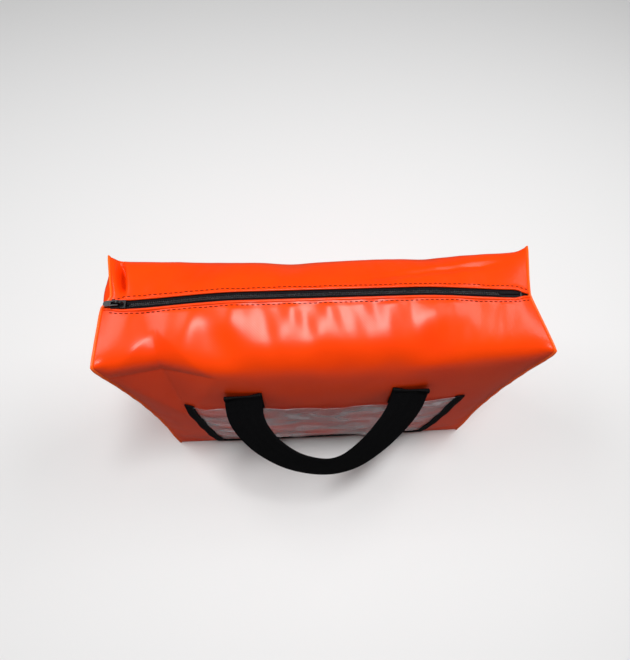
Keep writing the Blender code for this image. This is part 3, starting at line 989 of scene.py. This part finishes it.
def add_window(grid, out):
    """The film, crumpled a little, and its binding on three edges."""
    x0, x1 = WINDOW_LOW.x, WINDOW_HIGH.x
    z0, z1 = WINDOW_LOW.z, WINDOW_HIGH.z
    flat_x, flat_z = np.linspace(x0 + 0.002, x1 - 0.002, 160), np.linspace(z0 + 0.002, z1, 104)
    xs, zs = np.meshgrid(flat_x, flat_z, indexing="ij")
    from_edge = np.minimum.reduce([xs - x0, x1 - xs, zs - z0])
    height = np.vectorize(crumple)(xs, zs) * np.clip(from_edge / 0.012 - 0.9, 0, 1)
    lip = 0.0012 * smooth(zs, z1 - 0.012, z1)
    film_grid = on_wall(grid, out, xs, zs, FILM_STANDS + height + lip)
    film = cloth("window_film_clear", film_grid, flat_lengths(film_grid), CLEAR, FILM)
    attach(film, "bag")
    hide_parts("window_film")

    wide = FILM_BINDING[1].x - FILM_BINDING[0].x
    half, thick = wide / 2 + 0.0008, BINDING_THICK
    profile = [(-half, 0), (-half + 0.0005, thick), (-half * 0.5, thick * 1.15)]
    profile += [(half * 0.5, thick * 1.15), (half - 0.0005, thick), (half, 0)]
    profile += [(half - 0.0005, -thick), (-half + 0.0005, -thick)]
    strips = {
        "left": ((x0 + wide / 2, z0), (x0 + wide / 2, z1 + 0.001), (1, 0), 90),
        "right": ((x1 - wide / 2, z0), (x1 - wide / 2, z1 + 0.001), (1, 0), 90),
        "bottom": ((x0, z0 + wide / 2), (x1, z0 + wide / 2), (0, 1), 140),
    }
    for name, (first, last, (to_x, to_z), count) in strips.items():
        share = np.linspace(0, 1, count)
        wave = 0.0006 * np.sin(share * 23.0 + len(name))
        x = first[0] + (last[0] - first[0]) * share + wave * to_x
        z = first[1] + (last[1] - first[1]) * share + wave * to_z
        stands = np.full(count, BINDING_STANDS)
        path = on_wall(grid, out, x, z, stands)
        beside = on_wall(grid, out, x + STEP * to_x, z + STEP * to_z, stands)
        strip = sweep(f"window_binding_{name}_tape", path, beside - path, profile, BINDING_BLACK)
        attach(strip, "bag")
        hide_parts(f"window_binding_{name}")
        ups = on_grid(out, *wall_place(grid, x, z))
        inset = (beside - path) / STEP * (half - 0.0016) * (-1 if name == "right" else 1)
        line = path + inset
        seam = dashes(f"window_stitches_{name}", line, ups, BLACK_THREAD, thick * 1.1, 0.0042, 0.0028)
        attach(seam, "bag")


# ---------------------------------------------------------------- handles


def loop_curve():
    """The loop's centreline in its own plane, as (across, down the slope). It hangs fuller on the left."""
    left = [(-0.0895, 0.002), (-0.0895, 0.028), (-0.0825, 0.051), (-0.0655, 0.078), (-0.038, 0.1015)]
    right = [(0.026, 0.105), (0.052, 0.080), (0.072, 0.050), (0.084, 0.024), (0.0885, 0.002)]
    points = np.array([*left, (-0.003, 0.1125), *right])
    return spread(len(points), 12) @ points


def strap_profile():
    """The webbing's outline, with points across it that carry the weave."""
    half, thick = WEBBING / 2, WEBBING_THICK / 2
    inner = np.linspace(-half + 0.0006, half - 0.0006, 17)
    top = [(w, thick) for w in inner]
    bottom = [(w, -thick) for w in inner[::-1]]
    return np.array([*top, (half, 0.0), *bottom, (-half, 0.0)])


def add_end_stitches(grid, out, x, name):
    """A stitched box with one diagonal across it, through one sewn end of a handle."""
    half = WEBBING / 2 - 0.004
    low, high = SEWN_LOW.z + 0.004, SEWN_HIGH.z - 0.009
    corners = [(-half, low), (half, low), (half, high), (-half, high), (-half, low), (half, high)]
    places = []
    for (xa, za), (xb, zb) in zip(corners, corners[1:]):
        share = np.linspace(0, 1, 13)[:-1]
        places += list(zip(xa + (xb - xa) * share, za + (zb - za) * share))
    xs, zs = np.array(places).T
    path = on_wall(grid, out, x + xs, zs, np.full(len(xs), SEWN_STANDS + WEBBING_THICK))
    ups = on_grid(out, *wall_place(grid, x + xs, zs))
    seam = dashes(name, path, ups, BLACK_THREAD, 0.0001, pitch=0.0036, length=0.0026)
    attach(seam, "bag")


def add_handle(grid, out, face):
    """One strap: sewn flat to the wall, folded over at the top of each end, and hanging out in a loop."""
    side = FACES[face]
    pivot_y = side * abs(HANDLE_PIVOT.y)
    plane_down = np.array([0.0, side * math.cos(LOOP_SLOPE), -math.sin(LOOP_SLOPE)])
    plane_out = np.array([0.0, side * math.sin(LOOP_SLOPE), math.cos(LOOP_SLOPE)])
    pivot = np.array([0.0, pivot_y, HANDLE_PIVOT.z])
    curve = loop_curve()
    if side > 0:
        curve = (curve * [-1.0, 1.0])[::-1]
    loop = pivot + curve[:, :1] * np.array([1.0, 0, 0]) + curve[:, 1:] * plane_down

    def sewn(x):
        """The end that is sewn flat to the wall, from its lower edge up."""
        z = np.linspace(SEWN_LOW.z, SEWN_HIGH.z - 0.003, SEWN_STEPS)
        stands = np.full(SEWN_STEPS, SEWN_STANDS + WEBBING_THICK / 2)
        return on_wall(grid, out, np.full(SEWN_STEPS, x), z, stands)

    rising = np.linspace(0, 1, FOLD_STEPS + 2)[1:-1]

    def over(from_wall, to_loop):
        """The fold: up from the wall, over, and down into the loop."""
        share = rising[:, None]
        lift = np.array([0.0, 0.0, FOLD_LIFT])
        return from_wall * (1 - share) + to_loop * share + lift * 4 * share * (1 - share)

    left, right = sewn(loop[0, 0]), sewn(loop[-1, 0])
    parts = [left, over(left[-1], loop[0]), loop, over(right[-1], loop[-1])[::-1], right[::-1]]
    path = np.concatenate(parts)
    still = np.zeros(SEWN_STEPS)
    follow = np.concatenate([still, rising, np.ones(len(loop)), rising[::-1], still])

    # The strap's side directions: level on the wall, and square to the loop's own line in its plane
    start = SEWN_STEPS + FOLD_STEPS
    stop = start + len(loop)
    flat = np.cross(unit(np.gradient(path, axis=0)), plane_out)
    flat = unit(flat[start:stop] * (np.sign(flat[start, 0]) or 1.0))
    turn = np.sin(math.pi * np.linspace(0, 1, len(loop))) ** 1.5 * LOOP_TWIST
    across = np.tile((1.0, 0.0, 0.0), (len(path), 1))
    across[start:stop] = flat * np.cos(turn)[:, None] + plane_out * np.sin(turn)[:, None] * side
    across[stop:] = across[stop - 1] * [1, 0, 0]

    strap = sweep(f"{face}_handle_strap", path, unit(across), strap_profile(), WEBBING_BLACK)
    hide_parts(f"{face}_handle_loop", f"{face}_handle_end_left", f"{face}_handle_end_right")
    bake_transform(strap, "bag", f"{face}_handle", (0, pivot_y, 0.2), (0, pivot_y, 0.3))
    weights = np.repeat(follow, len(strap_profile())).astype(np.float32)
    strap.data.attributes["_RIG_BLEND"].data.foreach_set("value", weights)
    for end, x in (("left", loop[0, 0]), ("right", loop[-1, 0])):
        add_end_stitches(grid, out, x, f"{face}_strap_stitches_{end}")


# ---------------------------------------------------------------- stage


def softbox(name, place, target, size, power):
    """A soft area light that looks at its target."""
    light = bpy.data.lights.new(name, "AREA")
    light.shape = "RECTANGLE"
    light.size, light.size_y = size
    light.energy = power
    look = Vector(target) - Vector(place)
    link(name, light, place).rotation_euler = look.to_track_quat("-Z", "Y").to_euler()


def add_stage():
    """A plain pale floor, which the glossy sheet doesn't mirror, and soft studio light."""
    mesh = bpy.data.meshes.new("floor")
    corners = [(x * FLOOR_HALF, y * FLOOR_HALF, 0) for x, y in ((-1, -1), (1, -1), (1, 1), (-1, 1))]
    mesh.from_pydata(corners, [], [(0, 1, 2, 3)])
    pale = Nodes("pale_floor")
    pale.set(Base_Color=(0.74, 0.74, 0.74, 1.0), Roughness=0.9, Specular_IOR_Level=0.1)
    mesh.materials.append(pale.material)
    floor = link("floor", mesh, (0, 0, FLOOR_Z))
    floor.visible_glossy = False

    world = bpy.data.worlds.new("studio")
    world.use_nodes = True
    background = world.node_tree.nodes["Background"].inputs
    background["Color"].default_value = (1.0, 1.0, 1.0, 1.0)
    background["Strength"].default_value = WORLD_LIGHT
    bpy.context.scene.world = world

    softbox("left_softbox", (-1.15, 0.40, 1.6), (0.0, 0.0, 0.1), (1.0, 0.8), 15.0)
    softbox("right_softbox", (1.15, 0.40, 1.6), (0.0, 0.0, 0.1), (1.0, 0.8), 15.0)
    softbox("overhead_softbox", (0.06, -0.10, 1.7), (0.0, -0.05, 0.2), (0.66, 0.19), 18.5)


def add_camera():
    """The camera, above the front of the bag and looking down on it."""
    camera = bpy.data.cameras.new("camera")
    camera.sensor_width = SENSOR
    camera.lens = LENS
    camera.shift_x, camera.shift_y = CAMERA_SHIFT
    camera.clip_start = 0.01
    obj = link("camera", camera, CAMERA_PLACE)
    obj.rotation_euler = Euler([math.radians(angle) for angle in CAMERA_TURN])
    bpy.context.scene.camera = obj


def main():
    """Builds every piece, the stage and the camera."""
    places = shell_start()
    places = settle(places)
    places = draw_in_ends(flatten_walls(places))
    grids = shell_grids(places)
    outs = {}
    for face in FACES:
        grids[face] = pucker(grids[face], face)
        outs[face] = add_sheet(grids[face], face)
    add_ends(grids)
    add_zip(grids, outs)
    add_stops(grids)
    finish_cad_pieces()
    add_window(grids["front"], outs["front"])
    for face in FACES:
        add_handle(grids[face], outs[face], face)
    add_stage()
    add_camera()
    bpy.context.scene.view_settings.view_transform = "Standard"


main()
